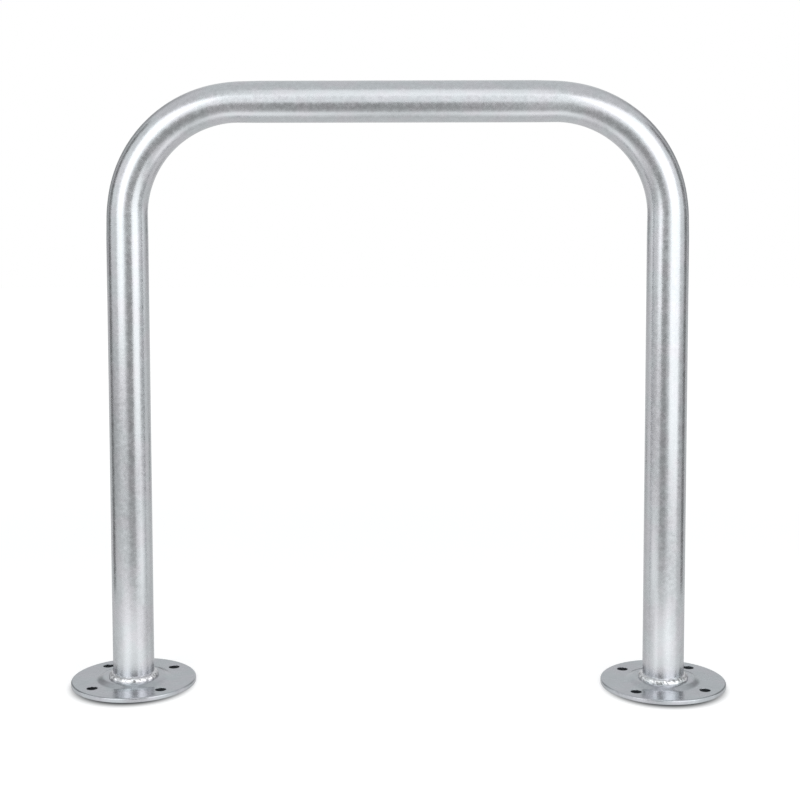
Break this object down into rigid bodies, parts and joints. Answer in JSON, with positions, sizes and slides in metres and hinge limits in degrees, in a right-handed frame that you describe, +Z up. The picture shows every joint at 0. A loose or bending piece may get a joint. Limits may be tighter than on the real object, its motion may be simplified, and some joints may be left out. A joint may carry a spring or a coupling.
{
  "type": "hoop bike rack",
  "caption": "Galvanised steel hoop of bent round tube, welded to two round base flanges with bolt holes, for leaning and locking bicycles.",
  "frame": {"origin": "on the ground, midway between the centres of the two legs", "axes": "+X across the hoop from the left leg to the right leg, +Y from the front to the back, +Z up"},
  "size_m": [0.802, 0.152, 0.735],
  "materials": {
    "zinc_tube": "hot-dip galvanised, satin, with a fine pale grain",
    "zinc_plate": "hot-dip galvanised, satin, a little duller than the tube",
    "zinc_weld": "hot-dip galvanised, bright, rippled"
  },
  "bodies": {
    "root": {"hoop_tube": "zinc_tube", "left_flange": "zinc_plate", "right_flange": "zinc_plate", "left_weld_bead": "zinc_weld", "right_weld_bead": "zinc_weld", "left_root_weld": "zinc_weld", "right_root_weld": "zinc_weld"}
  },
  "joints": []
}
